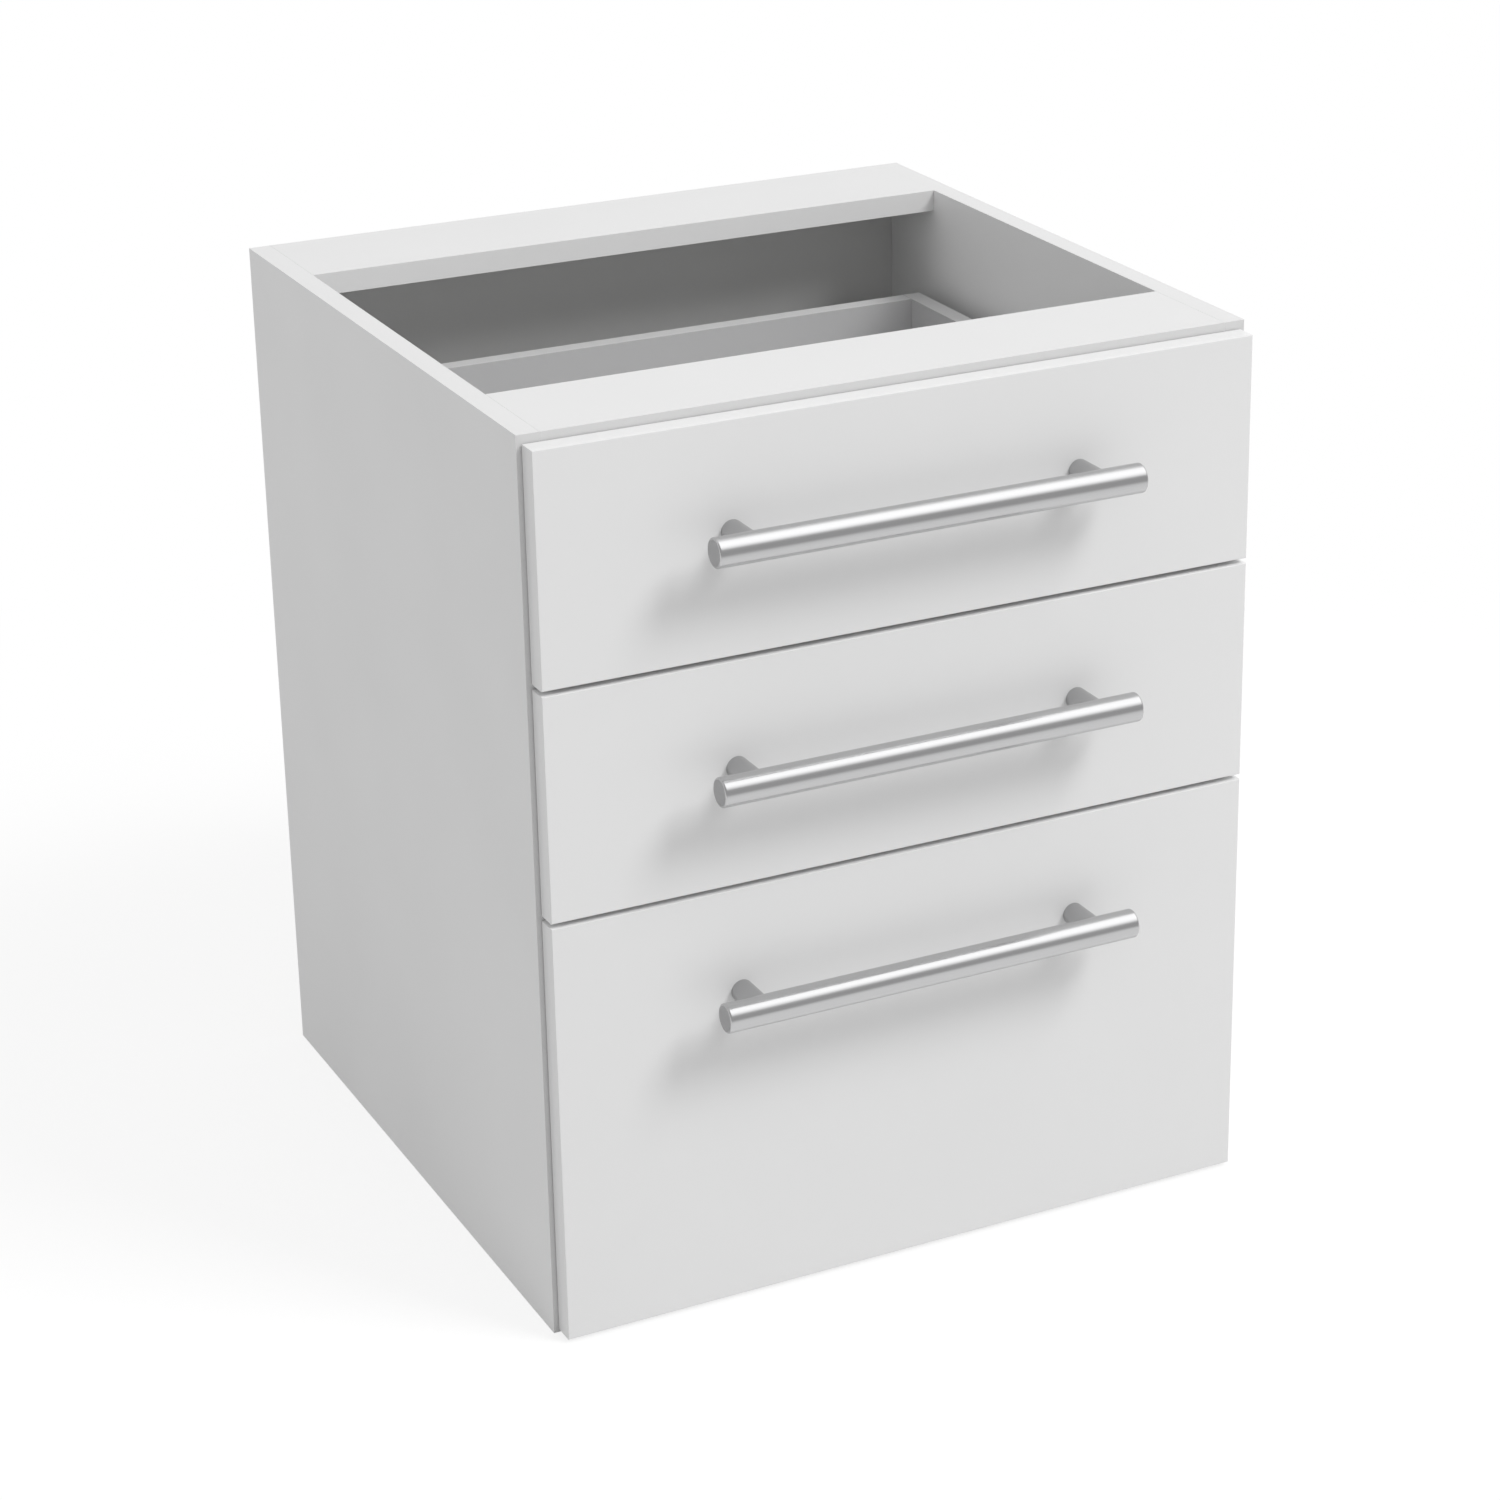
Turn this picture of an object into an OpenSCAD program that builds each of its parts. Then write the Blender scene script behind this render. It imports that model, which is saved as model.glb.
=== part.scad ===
/* [Carcass] */
// Width over the side panels
carcass_w = 600; // [450:10:900]
// Height of the side panels
carcass_h = 720; // [690:5:870]
// Depth of the side panels
carcass_d = 570; // [500:5:620]
// Thickness of the carcass boards
board_t = 18; // [16:0.5:19]
// Depth of the front top rail, from front to rear
front_rail_d = 100; // [80:1:130]
// Depth of the rear top rail, from front to rear
rear_rail_d = 104; // [90:1:130]
// Thickness of the back panel
back_t = 3; // [3:0.5:5]
// Distance from the rear edges to the back panel
back_inset = 22; // [12:1:30]
// Depth of the grooves that hold the back panel
back_groove = 6; // [4:0.5:8]

/* [Drawer fronts] */
// Thickness of the drawer fronts
front_t = 18; // [16:0.5:22]
// Height of the top drawer's front
top_front_h = 180; // [160:1:200]
// Height of the middle drawer's front
middle_front_h = 178; // [160:1:200]
// Space between one front and the next
front_gap = 4; // [2:0.5:5]
// Height of carcass that shows above the top front
top_reveal = 7; // [4:0.5:12]
// Height of carcass that shows below the bottom front
base_reveal = 3; // [0:0.5:6]
// Width of side panel that shows beside the fronts
side_reveal = 4; // [1:0.5:6]
// Space between the fronts and the carcass, which the bumpers take up
front_space = 1; // [1:0.1:3]
// Rounding of the fronts' outer edges
front_r = 1; // [0.5:0.5:4]

/* [Drawer boxes] */
// Thickness of the drawer box boards
box_t = 16; // [12:0.5:18]
// Height of the upper two drawer boxes
box_h = 85; // [70:1:100]
// Height of the bottom drawer's box
deep_box_h = 200; // [150:5:240]
// Space between the drawer box and the back panel
box_rear_space = 76; // [20:1:120]
// Space beside the drawer box, which the runners take up
side_space = 13; // [12.5:0.1:14]
// Height of an upper box above the lower edge of its front
box_rise = 12; // [8:0.5:20]
// Height of the bottom box above the base panel
deep_box_rise = 14; // [12:0.5:30]
// Thickness of the drawer bottoms
bottom_t = 3; // [3:0.5:5]
// Height of a drawer bottom above the lower edge of its box
bottom_rise = 12; // [8:0.5:16]
// Depth of the grooves that hold the drawer bottoms
bottom_groove = 6; // [4:0.5:8]

/* [Handles] */
// Diameter of the handle bars
bar_d = 23; // [18:0.5:26]
// Length of the handle bars
bar_l = 352; // [320:1:420]
// Rounding of the bar ends
bar_r = 1.5; // [0.5:0.5:3]
// Distance between the handle posts
post_spacing = 288; // [160:32:320]
// Diameter of the handle posts
post_d = 18; // [14:0.5:20]
// Distance from the front to the middle of the bar
handle_reach = 37; // [30:0.5:45]
// Distance from a front's upper edge to the middle of its bar
handle_drop = 84; // [40:1:90]

/* [Runners] */
// Thickness of the runner steel
steel_t = 1.2; // [1:0.1:1.5]
// Distance from the front edges to the runners
runner_inset = 2; // [1:0.5:5]
// Length of box behind the runners
runner_short = 20; // [10:1:40]
// Diameter of the front rollers
front_roller_d = 20; // [18:0.5:22]
// Diameter of the rear rollers
rear_roller_d = 26; // [24:0.5:28]
// Width of the rollers
roller_w = 7; // [6:0.1:7.4]
// Diameter of the roller rivets
rivet_d = 5; // [4:0.5:6]
// Height of the drawer runner's carrying flange above the box's lower edge
flange_rise = 12; // [11:0.5:14]
// Width of drawer runner below the box side
foot_w = 12; // [8:0.5:14]
// Distance that a drawer slides out
travel = 340; // [250:5:360]

/* [Fasteners] */
// Diameter of the cam discs
cam_d = 15; // [12:0.5:16]
// Height of the cam discs
cam_h = 13; // [12.5:0.1:14]
// Distance from a board's end to its cam discs
cam_reach = 24; // [20:1:34]
// Distance from a board's edge to its nearest cam disc
cam_edge = 25; // [15:1:30]
// Diameter of the cam bolts
cam_bolt_d = 7; // [6:0.5:7.5]
// Length of the cam bolts' thread in the side panels
cam_thread_l = 11; // [8:0.5:13]
// Shank diameter of the runner screws
runner_screw_d = 5; // [3.5:0.5:6]
// Depth of the runner screws in the boards
runner_screw_l = 11; // [8:0.5:13]
// Shank diameter of the screws that hold the fronts
box_screw_d = 4; // [3:0.5:5]
// Depth of those screws in the fronts
box_screw_grip = 12; // [8:0.5:14]
// Shank diameter of the handle screws
handle_screw_d = 4; // [3:0.5:5]
// Depth of the handle screws in the posts
handle_screw_grip = 11; // [8:0.5:14]
// Diameter of the bumpers
bumper_d = 8; // [6:0.5:9]

/* [Hidden] */

$fn = 48;

// Colours, as the photograph shows them
board_white = [0.95, 0.95, 0.95];
inner_white = [0.88, 0.88, 0.88];
steel_grey = [0.72, 0.72, 0.73];
runner_white = [0.90, 0.90, 0.88];
nylon_white = [0.96, 0.96, 0.94];
zinc_grey = [0.62, 0.62, 0.64];
bumper_clear = [0.85, 0.87, 0.88];

// Drawer levels
TOP = 0;
MIDDLE = 1;
BOTTOM = 2;
LEVELS = [TOP, MIDDLE, BOTTOM];
SIDES = [-1, 1];

// Clearances
loose = 0.1; // a thin panel in its groove, on each face
snug = 0.05; // a shank in its hole, on the radius
running = 0.3; // a roller above or below what it runs on
groove_end = 0.5; // a panel's edge or a spigot and the end of its groove or socket
blind_end = 1; // a screw's tip and the end of its hole
eps = 0.01; // how far a cut runs past a face

// Carcass planes: the origin is the middle of the base, on the floor
inner_x = carcass_w / 2 - board_t;
edge_y = -carcass_d / 2;
rear_y = carcass_d / 2;
back_y = rear_y - back_inset - back_t;
base_top = board_t;
rail_z = carcass_h - board_t;

// Drawer fronts, from the top one down
front_w = carcass_w - 2 * side_reveal;
bottom_front_h = carcass_h - top_reveal - base_reveal - top_front_h - middle_front_h - 2 * front_gap;
front_h = [top_front_h, middle_front_h, bottom_front_h];
front_z = [
    base_reveal + bottom_front_h + middle_front_h + 2 * front_gap,
    base_reveal + bottom_front_h + front_gap,
    base_reveal
];
front_back_y = edge_y - front_space;
front_face_y = front_back_y - front_t;

// Drawer boxes
box_x = inner_x - side_space;
box_inner_x = box_x - box_t;
box_y = front_back_y;
box_l = back_y - box_rear_space - box_y;
box_z = [front_z[TOP] + box_rise, front_z[MIDDLE] + box_rise, base_top + deep_box_rise];
box_hs = [box_h, box_h, deep_box_h];

// Handles: each post has a spigot that sits in the bar
bar_y = front_face_y - handle_reach;
spigot_d = post_d * 0.45;
spigot_l = bar_d * 0.25;
spigot_y = bar_y + bar_d / 2 - spigot_l;
screw_head_d = 8;
screw_head_t = 2.4;
head_sunk = 0.2;
head_recess = screw_head_t + 3 * head_sunk;
function bar_z(level) = front_z[level] + front_h[level] - handle_drop;

// Runner section: heights are measured from the lower edge of a drawer box
roller_space = 2; // from the cabinet runner's end to its roller
flange_space = 3; // from the carrying flange to the rear roller
rivet_end = 1; // from the rear roller to the drawer runner's rear end
web_x = box_x + steel_t;
channel_x = inner_x - steel_t;
front_axle_z = flange_rise - running - front_roller_d / 2;
channel_low = front_axle_z - front_roller_d / 2 - running;
rear_axle_z = channel_low + running + rear_roller_d / 2;
channel_high = rear_axle_z + rear_roller_d / 2 + running;
runner_y = edge_y + runner_inset;
runner_l = box_l - runner_short;
front_axle_y = runner_y + front_roller_d / 2 + roller_space;
rear_axle_y = runner_y + runner_l - rear_roller_d / 2 - rivet_end;
roller_x = web_x + (channel_x - web_x - roller_w) / 2;
roller_end = roller_x + roller_w;
rivet_head_d = rivet_d + 3;
rivet_head_t = 1;
rivet_recess = rivet_head_t + running;
thin_head_t = 0.8;

// Screw places along the runners, from their front ends
first_screw = 35;
last_screw = 48;
runner_screw_at = [first_screw, runner_l / 2, runner_l - last_screw];

// The stop in each channel, which a rear roller meets when its drawer is out
stop_h = 3;
stop_l = 6;
stop_lift = rear_roller_d / 2 + running - stop_h;
stop_y = rear_axle_y - travel - sqrt(pow(rear_roller_d / 2, 2) - pow(stop_lift, 2)) - running - stop_l;

// Cam fittings: each bolt's head reaches past the middle of its disc
cam_thread_d = cam_bolt_d - 2;
cam_sunk = 0.5;
cam_past = 2;

// Cam discs: places along each board, from its front edge
front_rail_cams = [cam_edge, front_rail_d - cam_edge];
rear_rail_cams = [cam_edge, rear_rail_d - back_inset - back_t - cam_edge];
base_cams = [2 * cam_edge, carcass_d - back_inset - back_t - 2 * cam_edge];
// Each entry is the y of a joint and the z of its board's lower face
cam_places = concat(
    [for (d = base_cams) [edge_y + d, 0]],
    [for (d = front_rail_cams) [edge_y + d, rail_z]],
    [for (d = rear_rail_cams) [rear_y - rear_rail_d + d, rail_z]]
);

// Screws that hold a front to its box, their heads sunk in the inner front
front_screw_inset = 42;
front_screw_low = 12;
front_screw_high = 18;
front_screw_x = box_inner_x - front_screw_inset;
screw_seat_y = box_y + box_t - screw_head_t - head_sunk;
function front_screw_z(level) = [
    box_z[level] + bottom_rise + bottom_t + front_screw_low,
    box_z[level] + box_hs[level] - front_screw_high
];

// Bumpers
bumper_t = front_space - running / 2;
bumper_x = carcass_w / 2 - board_t / 2;
bumper_inset = 15;

// A cylinder along X, from x on, towards +X
module rod_x(d, l, x, y, z) {
    translate([x, y, z]) rotate([0, 90, 0]) cylinder(d = d, h = l);
}

// A cylinder along Y, from y on, towards +Y
module rod_y(d, l, x, y, z) {
    translate([x, y, z]) rotate([-90, 0, 0]) cylinder(d = d, h = l);
}

// The part on one side, drawn for the right side and mirrored for the left
module on_side(side) {
    if (side < 0) mirror([1, 0, 0]) children();
    else children();
}

// A flat profile with its two lower corners rounded
module soft_profile(w, t, r) {
    translate([0, r]) square([w, t - r]);
    translate([r, 0]) square([w - 2 * r, t - r]);
    translate([r, r]) circle(r = r);
    translate([w - r, r]) circle(r = r);
}

// A slab standing in the XZ plane, the edges of its -Y face rounded
module soft_slab(w, t, h, r) {
    intersection() {
        linear_extrude(height = h) soft_profile(w, t, r);
        translate([0, 0, h]) rotate([0, 90, 0]) linear_extrude(height = w) soft_profile(h, t, r);
    }
}

// A cross recess, cut down from z = 0
module cross_slot(d, depth) {
    for (turn = [0, 90])
        rotate([0, 0, turn]) translate([-d / 2, -d / 10, -depth]) cube([d, d / 5, depth + eps]);
}

// A screw with the top of its head at z = 0 and its shank pointing down
module screw(d, l, head_d, head_t) {
    difference() {
        union() {
            translate([0, 0, -head_t]) cylinder(d = head_d, h = head_t);
            translate([0, 0, -head_t - l]) cylinder(d = d, h = l);
        }
        cross_slot(head_d * 0.55, head_t * 0.6);
    }
}

// Groove for the back panel, cut through the sides, the base and the rear rail
module back_groove_cut() {
    translate([-inner_x - back_groove, back_y - loose, base_top - back_groove])
        cube([2 * (inner_x + back_groove), back_t + 2 * loose, rail_z - base_top + 2 * back_groove]);
}

// Holes of the cam fittings, in the side panels and in the boards between them
module cam_cuts() {
    for (side = SIDES) on_side(side) for (p = cam_places) {
        bolt_z = p[1] + board_t / 2;
        rod_x(cam_thread_d + 2 * snug, cam_thread_l + blind_end, inner_x - eps, p[0], bolt_z);
        rod_x(cam_bolt_d + 2 * snug, cam_reach + eps, inner_x - cam_reach, p[0], bolt_z);
        translate([inner_x - cam_reach, p[0], p[1] - eps])
            cylinder(d = cam_d + 2 * snug, h = cam_h + cam_sunk + eps);
    }
}

// Holes of the cabinet runner screws, in the side panels
module runner_screw_cuts() {
    for (side = SIDES) on_side(side) for (level = LEVELS) for (d = runner_screw_at)
        rod_x(
            runner_screw_d + 2 * snug, runner_screw_l + blind_end,
            inner_x - eps, runner_y + d, box_z[level] + rear_axle_z
        );
}

// Side panels: full height, with the rails and the base butted against their inner faces
module side_panel(side) {
    color(board_white) difference() {
        on_side(side) translate([inner_x, edge_y, 0]) cube([board_t, carcass_d, carcass_h]);
        back_groove_cut();
        cam_cuts();
        runner_screw_cuts();
    }
}

// Base panel between the side panels
module base_panel() {
    color(board_white) difference() {
        translate([-inner_x, edge_y, 0]) cube([2 * inner_x, carcass_d, board_t]);
        back_groove_cut();
        cam_cuts();
    }
}

// Top rail, one of the two that carry the worktop
module top_rail(y, depth) {
    color(board_white) difference() {
        translate([-inner_x, y, rail_z]) cube([2 * inner_x, depth, board_t]);
        back_groove_cut();
        cam_cuts();
    }
}

// Back panel in its grooves
module back_panel() {
    reach = back_groove - groove_end;
    color(inner_white) translate([-inner_x - reach, back_y, base_top - reach])
        cube([2 * (inner_x + reach), back_t, rail_z - base_top + 2 * reach]);
}

// Cam bolts, threaded into the side panels, each with a neck and a head inside its disc
module cam_bolts() {
    neck_d = 4;
    neck_l = 4;
    bolt_head_d = cam_bolt_d - 0.5;
    bolt_head_l = 3;
    shank_l = cam_reach + cam_past - neck_l - bolt_head_l;
    color(steel_grey) for (side = SIDES) on_side(side) for (p = cam_places) {
        bolt_z = p[1] + board_t / 2;
        neck_x = inner_x - shank_l - neck_l;
        rod_x(cam_thread_d, cam_thread_l + eps, inner_x - eps, p[0], bolt_z);
        rod_x(cam_bolt_d, shank_l, inner_x - shank_l, p[0], bolt_z);
        rod_x(neck_d, neck_l + 2 * eps, neck_x - eps, p[0], bolt_z);
        rod_x(bolt_head_d, bolt_head_l, neck_x - bolt_head_l, p[0], bolt_z);
    }
}

// Cam discs, each with a mouth for its bolt's head and a slot for a screwdriver
module cam_discs() {
    mouth_d = cam_bolt_d + 4 * snug;
    mouth_past = cam_past + 1;
    slot_w = 1.2;
    slot_l = cam_d * 0.7;
    slot_depth = 1.5;
    color(zinc_grey) for (side = SIDES) on_side(side) for (p = cam_places)
        translate([inner_x - cam_reach, p[0], p[1] + cam_sunk]) difference() {
            cylinder(d = cam_d, h = cam_h - cam_sunk);
            rod_x(mouth_d, cam_d / 2 + mouth_past + 1, -mouth_past, 0, board_t / 2 - cam_sunk);
            translate([-slot_l / 2, -slot_w / 2, -eps]) cube([slot_l, slot_w, slot_depth]);
        }
}

// Cabinet runner screws, their thin heads inside the channels
module cabinet_runner_screws() {
    color(steel_grey) for (side = SIDES) on_side(side) for (level = LEVELS) for (d = runner_screw_at)
        translate([channel_x - thin_head_t, runner_y + d, box_z[level] + rear_axle_z])
            rotate([0, -90, 0])
                screw(runner_screw_d, steel_t + runner_screw_l, runner_screw_d + 3, thin_head_t);
}

// Cabinet runner: a channel open towards the drawer, with the front roller's rivet and the stop
module cabinet_runner(level, side) {
    color(runner_white) on_side(side) translate([0, 0, box_z[level]]) difference() {
        union() {
            translate([channel_x, runner_y, channel_low - steel_t])
                cube([steel_t, runner_l, channel_high - channel_low + 2 * steel_t]);
            for (z = [channel_low - steel_t, channel_high])
                translate([roller_x, runner_y, z]) cube([inner_x - roller_x, runner_l, steel_t]);
            translate([roller_x, stop_y, channel_low - eps])
                cube([channel_x - roller_x + eps, stop_l, stop_h + eps]);
            rod_x(rivet_head_d, channel_x - roller_end + eps - running, roller_end + running,
                front_axle_y, front_axle_z);
            rod_x(rivet_d, channel_x - roller_x, roller_x, front_axle_y, front_axle_z);
            rod_x(rivet_head_d, rivet_head_t, roller_x, front_axle_y, front_axle_z);
        }
        for (d = runner_screw_at)
            rod_x(runner_screw_d + 2 * snug, steel_t + 2 * eps, channel_x - eps, runner_y + d, rear_axle_z);
    }
}

// Drawer runner: a foot under the box side, a web beside it and a flange that rides on the front
// roller, with the rear roller's rivet
module drawer_runner(level, side) {
    flange_l = rear_axle_y - rear_roller_d / 2 - flange_space - runner_y;
    color(runner_white) on_side(side) translate([0, 0, box_z[level]]) difference() {
        union() {
            translate([box_x, runner_y, -steel_t]) cube([steel_t, runner_l, flange_rise + 2 * steel_t]);
            translate([box_x - foot_w, runner_y, -steel_t]) cube([foot_w + steel_t, runner_l, steel_t]);
            translate([box_x, runner_y, flange_rise]) cube([roller_end - box_x, flange_l, steel_t]);
            rod_x(rivet_head_d, roller_x - running - web_x + eps, web_x - eps, rear_axle_y, rear_axle_z);
            rod_x(rivet_d, roller_end - web_x, web_x, rear_axle_y, rear_axle_z);
            rod_x(rivet_head_d, rivet_head_t, roller_end - rivet_head_t, rear_axle_y, rear_axle_z);
        }
        for (d = runner_screw_at)
            rod_x(box_screw_d + 2 * snug, steel_t + 2 * eps, box_x - eps, runner_y + d, flange_rise / 2);
    }
}

// A roller's section from its bore outwards, its recessed face at y = 0
module roller_profile(d) {
    bore_r = rivet_d / 2 + snug;
    recess_r = rivet_head_d / 2 + 0.4;
    bevel = 0.8;
    polygon([
        [bore_r, rivet_recess], [recess_r, rivet_recess], [recess_r, 0], [d / 2 - bevel, 0],
        [d / 2, bevel], [d / 2, roller_w - bevel], [d / 2 - bevel, roller_w], [bore_r, roller_w]
    ]);
}

// The two front rollers of one level, each with its recess towards the drawer
module front_rollers(level) {
    color(nylon_white) for (side = SIDES) on_side(side)
        translate([roller_x, front_axle_y, box_z[level] + front_axle_z]) rotate([0, 90, 0])
            rotate_extrude() roller_profile(front_roller_d);
}

// The two rear rollers of one level, each with its recess towards the side panel
module rear_rollers(level) {
    color(nylon_white) for (side = SIDES) on_side(side)
        translate([roller_end, rear_axle_y, box_z[level] + rear_axle_z]) rotate([0, -90, 0])
            rotate_extrude() roller_profile(rear_roller_d);
}

// Drawer front, with recesses in its back for the heads of the handle screws
module drawer_front(level) {
    screw_hole_d = handle_screw_d + 0.5;
    recess_d = screw_head_d + 1;
    z = bar_z(level);
    color(board_white) difference() {
        translate([-front_w / 2, front_face_y, front_z[level]])
            soft_slab(front_w, front_t, front_h[level], front_r);
        for (side = SIDES) {
            rod_y(screw_hole_d, front_t + 2 * eps, side * post_spacing / 2, front_face_y - eps, z);
            rod_y(recess_d, head_recess + eps, side * post_spacing / 2, front_back_y - head_recess, z);
        }
        front_screw_cuts(level);
    }
}

// Holes of the screws that hold a front to its box
module front_screw_cuts(level) {
    for (side = SIDES) for (z = front_screw_z(level)) {
        rod_y(
            box_screw_d + 2 * snug, box_t + box_screw_grip + blind_end,
            side * front_screw_x, box_y - box_screw_grip - blind_end, z
        );
        rod_y(
            screw_head_d + 2 * head_sunk, screw_head_t + head_sunk + eps,
            side * front_screw_x, screw_seat_y, z
        );
    }
}

// Groove round the inside of a drawer box, for its bottom
module bottom_groove_cut(level) {
    translate([
        -box_inner_x - bottom_groove, box_y + box_t - bottom_groove,
        box_z[level] + bottom_rise - loose
    ])
        cube([
            2 * (box_inner_x + bottom_groove), box_l - 2 * (box_t - bottom_groove),
            bottom_t + 2 * loose
        ]);
}

// Side of a drawer box, as long as the box
module box_side(level, side) {
    color(inner_white) difference() {
        on_side(side) translate([box_inner_x, box_y, box_z[level]]) cube([box_t, box_l, box_hs[level]]);
        bottom_groove_cut(level);
        on_side(side) for (d = runner_screw_at)
            rod_x(
                box_screw_d + 2 * snug, box_screw_grip + blind_end + eps,
                box_x - box_screw_grip - blind_end, runner_y + d, box_z[level] + flange_rise / 2
            );
    }
}

// Inner front or back of a drawer box, between its sides
module box_end_board(level, y) {
    color(inner_white) difference() {
        translate([-box_inner_x, y, box_z[level]]) cube([2 * box_inner_x, box_t, box_hs[level]]);
        bottom_groove_cut(level);
        front_screw_cuts(level);
    }
}

// Drawer bottom in its groove
module box_bottom(level) {
    reach = bottom_groove - groove_end;
    color(inner_white) translate([-box_inner_x - reach, box_y + box_t - reach, box_z[level] + bottom_rise])
        cube([2 * (box_inner_x + reach), box_l - 2 * (box_t - reach), bottom_t]);
}

// Screws of the drawer runners and of the front
module box_screws(level) {
    color(steel_grey) {
        for (side = SIDES) on_side(side) for (d = runner_screw_at)
            translate([web_x + thin_head_t, runner_y + d, box_z[level] + flange_rise / 2])
                rotate([0, 90, 0])
                    screw(box_screw_d, steel_t + box_screw_grip, box_screw_d + 3, thin_head_t);
        for (side = SIDES) for (z = front_screw_z(level))
            translate([side * front_screw_x, screw_seat_y + screw_head_t, z]) rotate([-90, 0, 0])
                screw(box_screw_d, screw_seat_y - box_y + box_screw_grip, screw_head_d, screw_head_t);
    }
}

// Handle bar: a round bar with softened ends and two sockets for the posts
module handle_bar(level) {
    r = bar_d / 2;
    color(steel_grey) difference() {
        translate([-bar_l / 2, bar_y, bar_z(level)]) rotate([0, 90, 0]) rotate_extrude() {
            square([r - bar_r, bar_l]);
            translate([0, bar_r]) square([r, bar_l - 2 * bar_r]);
            for (z = [bar_r, bar_l - bar_r]) translate([r - bar_r, z]) circle(r = bar_r);
        }
        for (side = SIDES)
            rod_y(
                spigot_d + 2 * snug, spigot_l + groove_end + eps,
                side * post_spacing / 2, spigot_y - groove_end, bar_z(level)
            );
    }
}

// Handle posts, each with a saddle for the bar, a spigot in the bar and a hole for its screw
module handle_posts(level) {
    color(steel_grey) for (side = SIDES) translate([side * post_spacing / 2, 0, bar_z(level)]) {
        difference() {
            rod_y(post_d, handle_reach, 0, bar_y, 0);
            rod_x(bar_d + 2 * snug, post_d + 2, -post_d / 2 - 1, bar_y, 0);
            post_screw_cut();
        }
        difference() {
            rod_y(spigot_d, spigot_l + post_d / 4, 0, spigot_y, 0);
            post_screw_cut();
        }
    }
}

// Hole of a handle screw in its post
module post_screw_cut() {
    depth = handle_screw_grip + blind_end;
    rod_y(handle_screw_d + 2 * snug, depth + eps, 0, front_face_y - depth, 0);
}

// Handle screws, from the recesses in the front's back into the posts
module handle_screws(level) {
    head_y = front_back_y - head_recess + screw_head_t;
    color(steel_grey) for (side = SIDES) translate([side * post_spacing / 2, head_y, bar_z(level)])
        rotate([-90, 0, 0])
            screw(
                handle_screw_d, head_y - screw_head_t - front_face_y + handle_screw_grip,
                screw_head_d, screw_head_t
            );
}

// Bumpers on the back of a front, facing the edges of the side panels
module bumpers(level) {
    color(bumper_clear) for (side = SIDES)
        for (z = [front_z[level] + bumper_inset, front_z[level] + front_h[level] - bumper_inset])
            rod_y(bumper_d, bumper_t, side * bumper_x, front_back_y, z);
}

side_panel(-1);  // side_panel_left
side_panel(1);  // side_panel_right
base_panel();
back_panel();
top_rail(edge_y, front_rail_d);  // front_rail
top_rail(rear_y - rear_rail_d, rear_rail_d);  // rear_rail
cam_bolts();
cam_discs();
cabinet_runner_screws();
cabinet_runner(TOP, -1);  // top_cabinet_runner_left
cabinet_runner(TOP, 1);  // top_cabinet_runner_right
front_rollers(TOP);  // top_front_rollers
cabinet_runner(MIDDLE, -1);  // middle_cabinet_runner_left
cabinet_runner(MIDDLE, 1);  // middle_cabinet_runner_right
front_rollers(MIDDLE);  // middle_front_rollers
cabinet_runner(BOTTOM, -1);  // bottom_cabinet_runner_left
cabinet_runner(BOTTOM, 1);  // bottom_cabinet_runner_right
front_rollers(BOTTOM);  // bottom_front_rollers
drawer_front(TOP);  // top_front
box_end_board(TOP, box_y);  // top_box_front
box_side(TOP, -1);  // top_box_left
box_side(TOP, 1);  // top_box_right
box_end_board(TOP, box_y + box_l - box_t);  // top_box_back
box_bottom(TOP);  // top_box_bottom
drawer_runner(TOP, -1);  // top_drawer_runner_left
drawer_runner(TOP, 1);  // top_drawer_runner_right
rear_rollers(TOP);  // top_rear_rollers
box_screws(TOP);  // top_box_screws
handle_bar(TOP);  // top_handle_bar
handle_posts(TOP);  // top_handle_posts
handle_screws(TOP);  // top_handle_screws
bumpers(TOP);  // top_bumpers
drawer_front(MIDDLE);  // middle_front
box_end_board(MIDDLE, box_y);  // middle_box_front
box_side(MIDDLE, -1);  // middle_box_left
box_side(MIDDLE, 1);  // middle_box_right
box_end_board(MIDDLE, box_y + box_l - box_t);  // middle_box_back
box_bottom(MIDDLE);  // middle_box_bottom
drawer_runner(MIDDLE, -1);  // middle_drawer_runner_left
drawer_runner(MIDDLE, 1);  // middle_drawer_runner_right
rear_rollers(MIDDLE);  // middle_rear_rollers
box_screws(MIDDLE);  // middle_box_screws
handle_bar(MIDDLE);  // middle_handle_bar
handle_posts(MIDDLE);  // middle_handle_posts
handle_screws(MIDDLE);  // middle_handle_screws
bumpers(MIDDLE);  // middle_bumpers
drawer_front(BOTTOM);  // bottom_front
box_end_board(BOTTOM, box_y);  // bottom_box_front
box_side(BOTTOM, -1);  // bottom_box_left
box_side(BOTTOM, 1);  // bottom_box_right
box_end_board(BOTTOM, box_y + box_l - box_t);  // bottom_box_back
box_bottom(BOTTOM);  // bottom_box_bottom
drawer_runner(BOTTOM, -1);  // bottom_drawer_runner_left
drawer_runner(BOTTOM, 1);  // bottom_drawer_runner_right
rear_rollers(BOTTOM);  // bottom_rear_rollers
box_screws(BOTTOM);  // bottom_box_screws
handle_bar(BOTTOM);  // bottom_handle_bar
handle_posts(BOTTOM);  // bottom_handle_posts
handle_screws(BOTTOM);  // bottom_handle_screws
bumpers(BOTTOM);  // bottom_bumpers
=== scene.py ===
"""A white kitchen base cabinet with drawers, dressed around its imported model."""

import math

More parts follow.
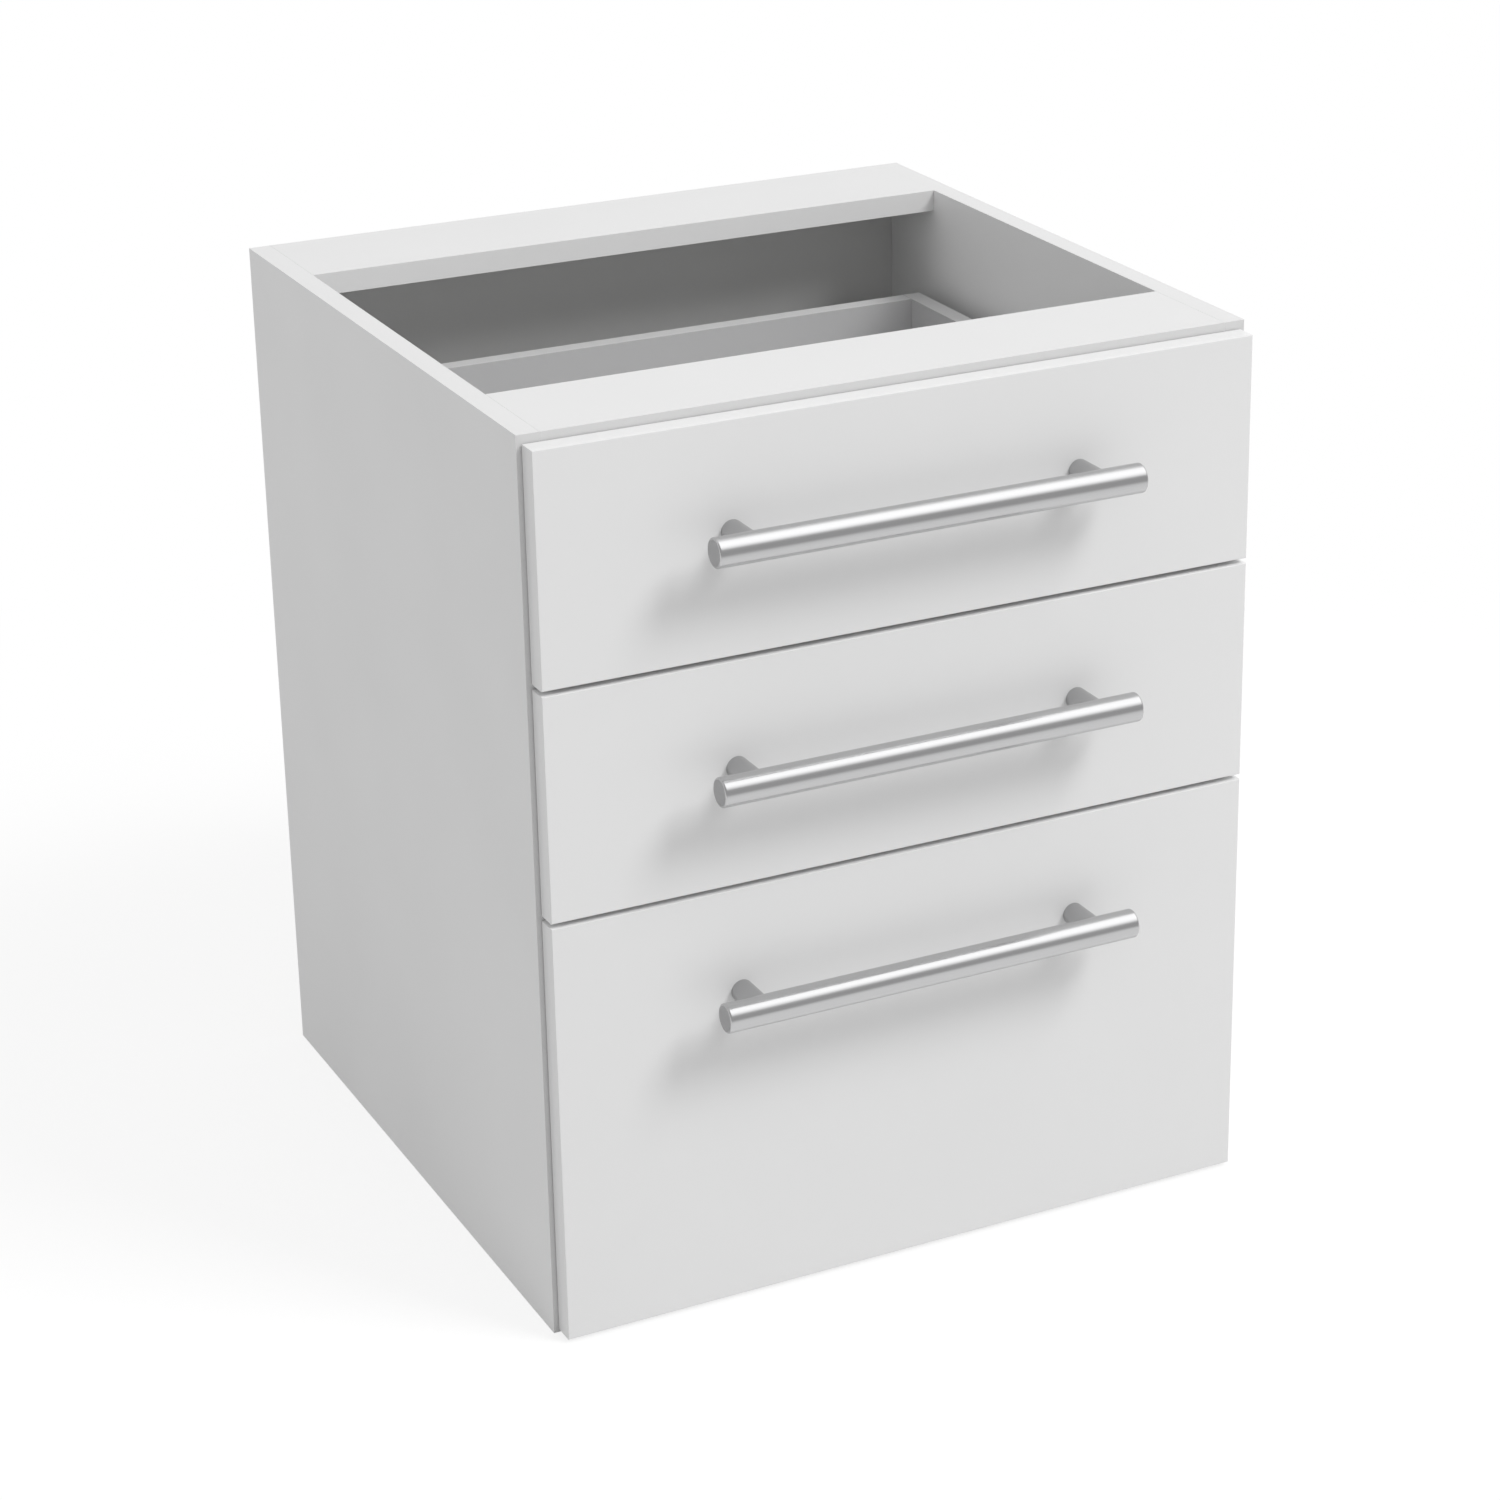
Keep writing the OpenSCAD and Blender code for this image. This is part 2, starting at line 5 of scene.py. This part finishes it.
import bmesh
import bpy
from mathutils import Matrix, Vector


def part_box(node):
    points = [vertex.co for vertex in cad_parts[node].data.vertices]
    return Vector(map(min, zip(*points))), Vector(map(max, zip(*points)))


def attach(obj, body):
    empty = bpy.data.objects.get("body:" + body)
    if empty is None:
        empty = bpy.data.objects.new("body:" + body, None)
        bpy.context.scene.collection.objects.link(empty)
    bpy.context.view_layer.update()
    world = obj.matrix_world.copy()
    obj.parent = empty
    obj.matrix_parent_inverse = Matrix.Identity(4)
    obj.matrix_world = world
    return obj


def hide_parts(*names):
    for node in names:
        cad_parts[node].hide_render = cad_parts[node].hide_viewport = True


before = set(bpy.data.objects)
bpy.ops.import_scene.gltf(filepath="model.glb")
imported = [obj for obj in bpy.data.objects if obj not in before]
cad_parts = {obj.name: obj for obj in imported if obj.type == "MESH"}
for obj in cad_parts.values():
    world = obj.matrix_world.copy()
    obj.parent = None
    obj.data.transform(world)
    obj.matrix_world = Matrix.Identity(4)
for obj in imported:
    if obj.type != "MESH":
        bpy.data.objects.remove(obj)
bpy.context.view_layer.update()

# Camera: a long lens from the front left and above, as the photograph was taken. The shift is the part
# of the photograph's off-centre framing that still leaves other views whole.
bpy.ops.object.camera_add(
    location=(-1.23691, -2.63976, 1.53004),
    rotation=(math.radians(68.7686), math.radians(0.4238), math.radians(-27.4222)),
)
camera = bpy.context.active_object
camera.name = "camera"
camera.data.sensor_width = 36
camera.data.lens = 91.214
camera.data.shift_x = -0.08
camera.data.shift_y = -0.06
bpy.context.scene.camera = camera
bpy.context.scene.view_settings.view_transform = "Standard"

# Studio air: a white backdrop for the camera and a plain grey light all round for the object. Gloss
# shows the white backdrop behind the object, the greyer room in front and a wide softbox overhead.
OVERHEAD = (0.43, -0.30, 0.85)

world = bpy.data.worlds.new("studio")
bpy.context.scene.world = world
world.use_nodes = True
air = world.node_tree
air.nodes.clear()
way = air.nodes.new("ShaderNodeTexCoord")
towards = air.nodes.new("ShaderNodeSeparateXYZ")
air.links.new(way.outputs["Generated"], towards.inputs[0])

# The room in gloss: grey in front of the object, white behind it.
room = air.nodes.new("ShaderNodeMapRange")
room.interpolation_type = "SMOOTHSTEP"
room.inputs["From Min"].default_value = -0.20
room.inputs["From Max"].default_value = 0.40
room.inputs["To Min"].default_value = 0.50
room.inputs["To Max"].default_value = 1.0
air.links.new(towards.outputs["Y"], room.inputs["Value"])

# The softbox in gloss: brightest straight towards OVERHEAD, and gone about 40 degrees off.
nearness = air.nodes.new("ShaderNodeVectorMath")
nearness.operation = "DOT_PRODUCT"
nearness.inputs[1].default_value = OVERHEAD
air.links.new(way.outputs["Generated"], nearness.inputs[0])
softbox = air.nodes.new("ShaderNodeMapRange")
softbox.interpolation_type = "SMOOTHSTEP"
softbox.inputs["From Min"].default_value = 0.76
softbox.inputs["From Max"].default_value = 1.0
softbox.inputs["To Min"].default_value = 0.0
softbox.inputs["To Max"].default_value = 1.4
air.links.new(nearness.outputs["Value"], softbox.inputs["Value"])
gloss_sky = air.nodes.new("ShaderNodeMath")
air.links.new(room.outputs["Result"], gloss_sky.inputs[0])
air.links.new(softbox.outputs["Result"], gloss_sky.inputs[1])

# Diffuse light gets the plain grey, gloss and clear matter the room, and the camera the backdrop.
rays = air.nodes.new("ShaderNodeLightPath")
seen_in_gloss = air.nodes.new("ShaderNodeMath")
seen_in_gloss.operation = "MAXIMUM"
air.links.new(rays.outputs["Is Glossy Ray"], seen_in_gloss.inputs[0])
air.links.new(rays.outputs["Is Transmission Ray"], seen_in_gloss.inputs[1])
gloss_mix = air.nodes.new("ShaderNodeMix")
gloss_mix.data_type = "RGBA"
gloss_mix.inputs["A"].default_value = (0.62, 0.62, 0.62, 1)
air.links.new(seen_in_gloss.outputs[0], gloss_mix.inputs["Factor"])
air.links.new(gloss_sky.outputs[0], gloss_mix.inputs["B"])
camera_mix = air.nodes.new("ShaderNodeMix")
camera_mix.data_type = "RGBA"
camera_mix.inputs["B"].default_value = (1, 1, 1, 1)
air.links.new(rays.outputs["Is Camera Ray"], camera_mix.inputs["Factor"])
air.links.new(gloss_mix.outputs["Result"], camera_mix.inputs["A"])
backdrop = air.nodes.new("ShaderNodeBackground")
air.links.new(camera_mix.outputs["Result"], backdrop.inputs["Color"])
air_out = air.nodes.new("ShaderNodeOutputWorld")
air.links.new(backdrop.outputs[0], air_out.inputs["Surface"])

# Key light: one softbox in front, high on the right. It casts the soft shadows below the handles. Gloss
# shows the softbox of the studio air instead of it.
AIM = Vector((0, -0.30, 0.40))
bpy.ops.object.light_add(type="AREA", location=(3.96, -4.85, 7.05))
key = bpy.context.active_object
key.name = "key_softbox"
key.data.shape = "SQUARE"
key.data.size = 3.0
key.data.energy = 388
key.rotation_euler = (key.location - AIM).to_track_quat("Z", "Y").to_euler()
key.visible_glossy = False

# Floor: pale and matt. The camera and gloss see it nearly white with the object's soft shadow, and its
# edge fades into the backdrop. Gloss shows it dimmer towards the front, where the room is. It lies just
# below the object's underside, so that the two faces don't flicker.
FLOOR_DROP = 0.0002
bpy.ops.mesh.primitive_plane_add(size=30, location=(0, 0, -FLOOR_DROP))
floor = bpy.context.active_object
floor.name = "floor"
floor_paint = bpy.data.materials.new("floor_paint")
floor_paint.use_nodes = True
tree = floor_paint.node_tree
tree.nodes.clear()

# What the object's faces get back from the floor, and what the camera sees close to the object.
bounce = tree.nodes.new("ShaderNodeBsdfDiffuse")
bounce.inputs["Color"].default_value = (0.70, 0.70, 0.70, 1)
shaded = tree.nodes.new("ShaderNodeBsdfDiffuse")
shaded.inputs["Color"].default_value = (0.26, 0.26, 0.26, 1)
glow = tree.nodes.new("ShaderNodeEmission")
glow.inputs["Color"].default_value = (0.78, 0.78, 0.78, 1)
near = tree.nodes.new("ShaderNodeAddShader")
tree.links.new(shaded.outputs[0], near.inputs[0])
tree.links.new(glow.outputs[0], near.inputs[1])

# Far from the object the floor is plain white, and in gloss dimmer towards the front.
white = tree.nodes.new("ShaderNodeEmission")
place = tree.nodes.new("ShaderNodeTexCoord")
along = tree.nodes.new("ShaderNodeSeparateXYZ")
tree.links.new(place.outputs["Object"], along.inputs[0])
dimmer = tree.nodes.new("ShaderNodeMapRange")
dimmer.inputs["From Min"].default_value = -3.6
dimmer.inputs["From Max"].default_value = -1.2
dimmer.inputs["To Min"].default_value = 0.50
dimmer.inputs["To Max"].default_value = 1.0
tree.links.new(along.outputs["Y"], dimmer.inputs["Value"])
floor_rays = tree.nodes.new("ShaderNodeLightPath")
far = tree.nodes.new("ShaderNodeMix")
far.inputs["A"].default_value = 1.0
tree.links.new(floor_rays.outputs["Is Glossy Ray"], far.inputs["Factor"])
tree.links.new(dimmer.outputs["Result"], far.inputs["B"])
tree.links.new(far.outputs["Result"], white.inputs["Strength"])

# The near floor fades into the far one, 0.6 to 1.5 m from the middle.
distance = tree.nodes.new("ShaderNodeVectorMath")
distance.operation = "LENGTH"
tree.links.new(place.outputs["Object"], distance.inputs[0])
fade = tree.nodes.new("ShaderNodeMapRange")
fade.interpolation_type = "SMOOTHSTEP"
fade.inputs["From Min"].default_value = 0.6
fade.inputs["From Max"].default_value = 1.5
tree.links.new(distance.outputs["Value"], fade.inputs["Value"])
seen = tree.nodes.new("ShaderNodeMixShader")
tree.links.new(fade.outputs["Result"], seen.inputs["Fac"])
tree.links.new(near.outputs[0], seen.inputs[1])
tree.links.new(white.outputs[0], seen.inputs[2])

# Camera, gloss and clear matter see that floor, and all other rays get the bounce.
straight = tree.nodes.new("ShaderNodeMath")
straight.operation = "MAXIMUM"
tree.links.new(floor_rays.outputs["Is Camera Ray"], straight.inputs[0])
tree.links.new(floor_rays.outputs["Is Glossy Ray"], straight.inputs[1])
shown = tree.nodes.new("ShaderNodeMath")
shown.operation = "MAXIMUM"
tree.links.new(straight.outputs[0], shown.inputs[0])
tree.links.new(floor_rays.outputs["Is Transmission Ray"], shown.inputs[1])
both = tree.nodes.new("ShaderNodeMixShader")
tree.links.new(shown.outputs[0], both.inputs["Fac"])
tree.links.new(bounce.outputs[0], both.inputs[1])
tree.links.new(seen.outputs[0], both.inputs[2])
floor_out = tree.nodes.new("ShaderNodeOutputMaterial")
tree.links.new(both.outputs[0], floor_out.inputs["Surface"])
floor.data.materials.append(floor_paint)

# Carcass boards: 18 mm particle board with a satin white facing. The front edges and the rails' inner
# edges are banded in white, and the rear edges are left raw. All long edges are eased.
EASE = 0.0003
SHORTEST_EASED = 0.012
SHARP = 1.2
WELD = 0.000005
COPLANAR = math.radians(0.2)
SMOOTH_BELOW = math.radians(40)


def eased(name, body, shortest=SHORTEST_EASED):
    """Show a copy of a solid whose sharp outer edges longer than shortest are eased, in its place."""
    piece = bpy.data.objects.new(name + "_eased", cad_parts[name].data.copy())
    bpy.context.scene.collection.objects.link(piece)
    bpy.ops.object.select_all(action="DESELECT")
    piece.select_set(True)
    bpy.context.view_layer.objects.active = piece
    bpy.ops.mesh.customdata_custom_splitnormals_clear()
    bpy.ops.object.mode_set(mode="EDIT")
    bpy.ops.mesh.select_mode(type="EDGE")
    bpy.ops.mesh.select_all(action="SELECT")
    bpy.ops.mesh.remove_doubles(threshold=WELD)
    bpy.ops.mesh.dissolve_limited(angle_limit=COPLANAR)
    bpy.ops.mesh.select_all(action="DESELECT")
    mesh = bmesh.from_edit_mesh(piece.data)
    for edge in mesh.edges:
        if len(edge.link_faces) == 2 and edge.is_convex and edge.calc_length() > shortest:
            edge.select_set(edge.calc_face_angle() > SHARP)
    bmesh.update_edit_mesh(piece.data)
    bpy.ops.mesh.bevel(offset=EASE, segments=2, affect="EDGES")
    bpy.ops.object.mode_set(mode="OBJECT")
    # The bevel's corners can pass the solid's faces by a few hundredths of a millimetre.
    low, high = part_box(name)
    for point in piece.data.vertices:
        point.co = [min(max(at, least), most) for at, least, most in zip(point.co, low, high)]
    bpy.ops.object.shade_smooth_by_angle(angle=SMOOTH_BELOW)
    flat_faces = piece.modifiers.new("flat_faces", "WEIGHTED_NORMAL")
    flat_faces.keep_sharp = True
    bpy.ops.object.modifier_apply(modifier=flat_faces.name)
    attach(piece, body)
    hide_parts(name)
    return piece


def group(name, inputs, outputs):
    """A new effect group with its sockets, and the nodes that stand for its inputs and outputs."""
    made = bpy.data.node_groups.new(name, "ShaderNodeTree")
    for socket, kind, value in inputs:
        made.interface.new_socket(socket, in_out="INPUT", socket_type=kind).default_value = value
    for socket, kind in outputs:
        made.interface.new_socket(socket, in_out="OUTPUT", socket_type=kind)
    return made, made.nodes.new("NodeGroupInput"), made.nodes.new("NodeGroupOutput")


# The pressed skin of a white board: a fine pearl, and a slight unevenness over a hand's width.
FLOAT, COLOUR, VECTOR = "NodeSocketFloat", "NodeSocketColor", "NodeSocketVector"
skin, skin_in, skin_out = group(
    "board_skin",
    [
        ("Vector", VECTOR, (0, 0, 0)),
        ("Colour", COLOUR, (0.8, 0.8, 0.8, 1)),
        ("Pearl size", FLOAT, 900.0),
        ("Unevenness", FLOAT, 0.03),
        ("Roughness", FLOAT, 0.4),
    ],
    [("Colour", COLOUR), ("Roughness", FLOAT), ("Height", FLOAT)],
)
pearl = skin.nodes.new("ShaderNodeTexNoise")
pearl.inputs["Detail"].default_value = 3
skin.links.new(skin_in.outputs["Vector"], pearl.inputs["Vector"])
skin.links.new(skin_in.outputs["Pearl size"], pearl.inputs["Scale"])
skin.links.new(pearl.outputs["Fac"], skin_out.inputs["Height"])
cloud = skin.nodes.new("ShaderNodeTexNoise")
cloud.inputs["Scale"].default_value = 9
cloud.inputs["Detail"].default_value = 2
skin.links.new(skin_in.outputs["Vector"], cloud.inputs["Vector"])
less = skin.nodes.new("ShaderNodeMath")
less.operation = "MULTIPLY"
skin.links.new(cloud.outputs["Fac"], less.inputs[0])
skin.links.new(skin_in.outputs["Unevenness"], less.inputs[1])
keep = skin.nodes.new("ShaderNodeMath")
keep.operation = "SUBTRACT"
keep.inputs[0].default_value = 1.0
skin.links.new(less.outputs[0], keep.inputs[1])
tinted = skin.nodes.new("ShaderNodeVectorMath")
tinted.operation = "SCALE"
skin.links.new(skin_in.outputs["Colour"], tinted.inputs[0])
skin.links.new(keep.outputs[0], tinted.inputs["Scale"])
skin.links.new(tinted.outputs["Vector"], skin_out.inputs["Colour"])
rub = skin.nodes.new("ShaderNodeMapRange")
rub.inputs["To Min"].default_value = -0.05
rub.inputs["To Max"].default_value = 0.05
skin.links.new(cloud.outputs["Fac"], rub.inputs["Value"])
gloss = skin.nodes.new("ShaderNodeMath")
skin.links.new(skin_in.outputs["Roughness"], gloss.inputs[0])
skin.links.new(rub.outputs["Result"], gloss.inputs[1])
skin.links.new(gloss.outputs[0], skin_out.inputs["Roughness"])


def finish(name, effect, values, bump, scale=(1, 1, 1), **plain):
    """A material with one effect group.

    values are the group's inputs, bump is the relief's strength and distance, scale stretches the effect
    along the object's axes, and plain holds values for the shader's own sockets.
    """
    made = bpy.data.materials.new(name)
    made.use_nodes = True
    tree = made.node_tree
    shader = tree.nodes["Principled BSDF"]
    for socket, value in plain.items():
        shader.inputs[socket.replace("_", " ")].default_value = value
    where = tree.nodes.new("ShaderNodeTexCoord")
    mapping = tree.nodes.new("ShaderNodeMapping")
    mapping.inputs["Scale"].default_value = scale
    tree.links.new(where.outputs["Object"], mapping.inputs["Vector"])
    look = tree.nodes.new("ShaderNodeGroup")
    look.node_tree = effect
    tree.links.new(mapping.outputs["Vector"], look.inputs["Vector"])
    for socket, value in values.items():
        look.inputs[socket].default_value = value
    tree.links.new(look.outputs["Colour"], shader.inputs["Base Color"])
    tree.links.new(look.outputs["Roughness"], shader.inputs["Roughness"])
    relief = tree.nodes.new("ShaderNodeBump")
    relief.inputs["Strength"].default_value = bump[0]
    relief.inputs["Distance"].default_value = bump[1]
    tree.links.new(look.outputs["Height"], relief.inputs["Height"])
    tree.links.new(relief.outputs["Normal"], shader.inputs["Normal"])
    return made


facing = finish(
    "white_facing",
    skin,
    {"Colour": (0.82, 0.82, 0.82, 1), "Pearl size": 1100.0, "Unevenness": 0.02, "Roughness": 0.42},
    (0.10, 0.0003),
)


def dress(piece, material):
    piece.data.materials.clear()
    piece.data.materials.append(material)


STRAIGHT = 0.999
FLUSH = 0.0001


def coat_edge(piece, name, material, way):
    """Give the outermost flat faces of the piece that look along way their own finish."""
    place = max(Vector(corner).dot(way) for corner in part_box(name))
    piece.data.materials.append(material)
    for face in piece.data.polygons:
        if face.normal.dot(way) > STRAIGHT and abs(face.center.dot(way) - place) < FLUSH:
            face.material_index = len(piece.data.materials) - 1


# The bands on the edges are a little greyer and more matt than the facing, the front ones more so than
# the inner ones.
edge_band = finish(
    "edge_band",
    skin,
    {"Colour": (0.69, 0.69, 0.69, 1), "Pearl size": 1400.0, "Unevenness": 0.02, "Roughness": 0.5},
    (0.12, 0.0003),
)
inner_band = finish(
    "inner_band",
    skin,
    {"Colour": (0.76, 0.76, 0.76, 1), "Pearl size": 1400.0, "Unevenness": 0.02, "Roughness": 0.45},
    (0.12, 0.0003),
)

# Raw particle board, where an edge has no band: pressed flakes of pale and darker wood, 1 to 3 mm long,
# which lie along the edge.
flakes, flakes_in, flakes_out = group(
    "pressed_flakes",
    [("Vector", VECTOR, (0, 0, 0)), ("Flake size", FLOAT, 400.0), ("Roughness", FLOAT, 0.85)],
    [("Colour", COLOUR), ("Roughness", FLOAT), ("Height", FLOAT)],
)
chips = flakes.nodes.new("ShaderNodeTexVoronoi")
flakes.links.new(flakes_in.outputs["Vector"], chips.inputs["Vector"])
flakes.links.new(flakes_in.outputs["Flake size"], chips.inputs["Scale"])
chip_tone = flakes.nodes.new("ShaderNodeSeparateColor")
flakes.links.new(chips.outputs["Color"], chip_tone.inputs["Color"])
wood = flakes.nodes.new("ShaderNodeValToRGB")
wood.color_ramp.elements[0].color = (0.27, 0.185, 0.11, 1)
wood.color_ramp.elements[1].color = (0.64, 0.52, 0.37, 1)
middle_wood = wood.color_ramp.elements.new(0.25)
middle_wood.color = (0.50, 0.385, 0.25, 1)
flakes.links.new(chip_tone.outputs["Red"], wood.inputs["Fac"])
flakes.links.new(wood.outputs["Color"], flakes_out.inputs["Colour"])
flakes.links.new(chips.outputs["Distance"], flakes_out.inputs["Height"])
dry = flakes.nodes.new("ShaderNodeMath")
dry.operation = "MULTIPLY_ADD"
dry.inputs[1].default_value = 0.1
flakes.links.new(chip_tone.outputs["Green"], dry.inputs[0])
flakes.links.new(flakes_in.outputs["Roughness"], dry.inputs[2])
flakes.links.new(dry.outputs[0], flakes_out.inputs["Roughness"])
RAW = {"Flake size": 900.0, "Roughness": 0.85}
RAW_BUMP = (0.3, 0.0004)
raw_upright = finish("raw_edge_upright", flakes, RAW, RAW_BUMP, scale=(1, 0.45, 0.45))
raw_level = finish("raw_edge_level", flakes, RAW, RAW_BUMP, scale=(0.45, 0.45, 1))

FORWARD = Vector((0, -1, 0))
REARWARD = Vector((0, 1, 0))
CARCASS = {
    "side_panel_left": (edge_band, raw_upright),
    "side_panel_right": (edge_band, raw_upright),
    "base_panel": (edge_band, raw_level),
    "front_rail": (edge_band, inner_band),
    "rear_rail": (inner_band, raw_level),
}
for name, (front_finish, rear_finish) in CARCASS.items():
    board = eased(name, "carcass")
    dress(board, facing)
    coat_edge(board, name, front_finish, FORWARD)
    coat_edge(board, name, rear_finish, REARWARD)

# Back panel: 3 mm hard fibre board, lacquered, slid into the grooves of the carcass. Its grey-white is
# darkened below the facing's white as painted shade, for the shade that falls inside the cabinet. Like
# all pieces that need no easing, it is shown as its own solid.
back_board_painted_shade = finish(
    "back_board_painted_shade",
    skin,
    {"Colour": (0.66, 0.66, 0.655, 1), "Pearl size": 500.0, "Unevenness": 0.05, "Roughness": 0.5},
    (0.15, 0.0004),
)


def paint(name, material):
    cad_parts[name].material_slots[0].material = material


paint("back_panel", back_board_painted_shade)

# Fastenings of the carcass: zinc-plated steel screws and cam bolts, and die-cast cam discs. Their metal
# has fine marks, which a finish's scale draws into an even grain here, and on the handles into lines
# along the bars and rings round the posts.
marks, marks_in, marks_out = group(
    "fine_marks",
    [
        ("Vector", VECTOR, (0, 0, 0)),
        ("Colour", COLOUR, (0.7, 0.7, 0.7, 1)),
        ("Depth", FLOAT, 0.1),
        ("Roughness", FLOAT, 0.25),
    ],
    [("Colour", COLOUR), ("Roughness", FLOAT), ("Height", FLOAT)],
)
grind = marks.nodes.new("ShaderNodeTexNoise")
grind.inputs["Scale"].default_value = 1
grind.inputs["Detail"].default_value = 4
marks.links.new(marks_in.outputs["Vector"], grind.inputs["Vector"])
marks.links.new(grind.outputs["Fac"], marks_out.inputs["Height"])
shade = marks.nodes.new("ShaderNodeMath")
shade.operation = "MULTIPLY_ADD"
shade.inputs[2].default_value = 0.9
marks.links.new(grind.outputs["Fac"], shade.inputs[0])
marks.links.new(marks_in.outputs["Depth"], shade.inputs[1])
marked = marks.nodes.new("ShaderNodeVectorMath")
marked.operation = "SCALE"
marks.links.new(marks_in.outputs["Colour"], marked.inputs[0])
marks.links.new(shade.outputs[0], marked.inputs["Scale"])
marks.links.new(marked.outputs["Vector"], marks_out.inputs["Colour"])
coarse = marks.nodes.new("ShaderNodeMath")
coarse.operation = "MULTIPLY_ADD"
marks.links.new(grind.outputs["Fac"], coarse.inputs[0])
marks.links.new(marks_in.outputs["Depth"], coarse.inputs[1])
marks.links.new(marks_in.outputs["Roughness"], coarse.inputs[2])
marks.links.new(coarse.outputs[0], marks_out.inputs["Roughness"])

zinc_plate = finish(
    "zinc_plate",
    marks,
    {"Colour": (0.66, 0.67, 0.69, 1), "Depth": 0.2, "Roughness": 0.28},
    (0.2, 0.0001),
    scale=(1500, 1500, 1500),
    Metallic=1.0,
)
cast_zinc = finish(
    "cast_zinc",
    marks,
    {"Colour": (0.50, 0.50, 0.52, 1), "Depth": 0.3, "Roughness": 0.45},
    (0.3, 0.0002),
    scale=(900, 900, 900),
    Metallic=1.0,
)
paint("cam_bolts", zinc_plate)
paint("cam_discs", cast_zinc)
paint("cabinet_runner_screws", zinc_plate)

# Runners: 1.2 mm steel strip, rolled to shape and powder coated white, with nylon rollers riveted on.
# Only the long bends are eased.
LEVELS = ("top", "middle", "bottom")
LONG_BEND = 0.05
powder_coat = finish(
    "powder_coat",
    skin,
    {"Colour": (0.80, 0.80, 0.78, 1), "Pearl size": 1600.0, "Unevenness": 0.03, "Roughness": 0.38},
    (0.25, 0.0002),
)
nylon = finish(
    "nylon",
    skin,
    {"Colour": (0.82, 0.82, 0.79, 1), "Pearl size": 700.0, "Unevenness": 0.04, "Roughness": 0.35},
    (0.05, 0.0002),
)
for level in LEVELS:
    for side in ("left", "right"):
        fixed = eased(f"{level}_cabinet_runner_{side}", "carcass", LONG_BEND)
        dress(fixed, powder_coat)
        sliding = eased(f"{level}_drawer_runner_{side}", f"{level}_drawer", LONG_BEND)
        dress(sliding, powder_coat)
    paint(f"{level}_front_rollers", nylon)
    paint(f"{level}_rear_rollers", nylon)

# Drawer fronts: 18 mm board wrapped in satin white foil, with soft edges all round the outer face. Their
# upper edge faces get a whiter foil, a painted highlight for the light that falls on them from above.
foil = finish(
    "white_foil",
    skin,
    {"Colour": (0.825, 0.825, 0.825, 1), "Pearl size": 1100.0, "Unevenness": 0.02, "Roughness": 0.32},
    (0.06, 0.0003),
)
# A whiter foil for the fronts' upper edge faces: a painted highlight.
foil_edge_painted_highlight = finish(
    "foil_edge_painted_highlight",
    skin,
    {"Colour": (0.91, 0.91, 0.91, 1), "Pearl size": 1100.0, "Unevenness": 0.02, "Roughness": 0.32},
    (0.06, 0.0003),
)
UPWARD = Vector((0, 0, 1))
for level in LEVELS:
    name = f"{level}_front"
    board = eased(name, f"{level}_drawer")
    dress(board, foil)
    # The upper edge faces get the whiter foil, a painted highlight.
    coat_edge(board, name, foil_edge_painted_highlight, UPWARD)

# Drawer boxes: 16 mm board with white bands on the upper edges, screwed to the fronts, with 3 mm bottoms
# slid into grooves. The boards' grey is darker than the carcass, painted shade for the inside of the
# cabinet and the drawers.
box_board_painted_shade = finish(
    "box_board_painted_shade",
    skin,
    {"Colour": (0.52, 0.52, 0.525, 1), "Pearl size": 1000.0, "Unevenness": 0.03, "Roughness": 0.45},
    (0.10, 0.0003),
)
for level in LEVELS:
    for part in ("box_front", "box_left", "box_right", "box_back"):
        name = f"{level}_{part}"
        board = eased(name, f"{level}_drawer")
        # The box boards' darker grey is painted shade.
        dress(board, box_board_painted_shade)
        coat_edge(board, name, inner_band, UPWARD)
    # The bottoms get the back panel's darkened grey, painted shade inside the drawers.
    paint(f"{level}_box_bottom", back_board_painted_shade)
    paint(f"{level}_box_screws", zinc_plate)

# Handles: solid steel bars, finely brushed lengthwise, on turned posts that are screwed on from inside
# the fronts. The bars' ends are sawn and rougher than their rounds, and their darker colour is painted
# shade.
bar_steel = finish(
    "bar_steel",
    marks,
    {"Colour": (0.57, 0.57, 0.575, 1), "Depth": 0.10, "Roughness": 0.18},
    (0.08, 0.0001),
    scale=(40, 2600, 2600),
    Metallic=1.0,
)
sawn_steel_painted_shade = finish(
    "sawn_steel_painted_shade",
    marks,
    {"Colour": (0.43, 0.43, 0.435, 1), "Depth": 0.15, "Roughness": 0.35},
    (0.10, 0.0001),
    scale=(12, 1300, 1300),
    Metallic=1.0,
)
post_steel = finish(
    "post_steel",
    marks,
    {"Colour": (0.52, 0.52, 0.525, 1), "Depth": 0.06, "Roughness": 0.22},
    (0.04, 0.0001),
    scale=(12, 2600, 12),
    Metallic=1.0,
)
LEFTWARD = Vector((-1, 0, 0))
RIGHTWARD = Vector((1, 0, 0))
for level in LEVELS:
    name = f"{level}_handle_bar"
    bar = eased(name, f"{level}_drawer")
    dress(bar, bar_steel)
    # The darker steel on the bars' end faces is painted shade.
    coat_edge(bar, name, sawn_steel_painted_shade, LEFTWARD)
    coat_edge(bar, name, sawn_steel_painted_shade, RIGHTWARD)
    paint(f"{level}_handle_posts", post_steel)
    paint(f"{level}_handle_screws", zinc_plate)

# Bumpers: clear soft dots stuck on the backs of the fronts, where they meet the side panels.
soft_dot = finish(
    "soft_dot",
    skin,
    {"Colour": (0.72, 0.75, 0.77, 1), "Pearl size": 500.0, "Unevenness": 0.02, "Roughness": 0.25},
    (0.02, 0.0002),
)
for level in LEVELS:
    paint(f"{level}_bumpers", soft_dot)

# Bring the placements of all objects up to date.
bpy.context.view_layer.update()
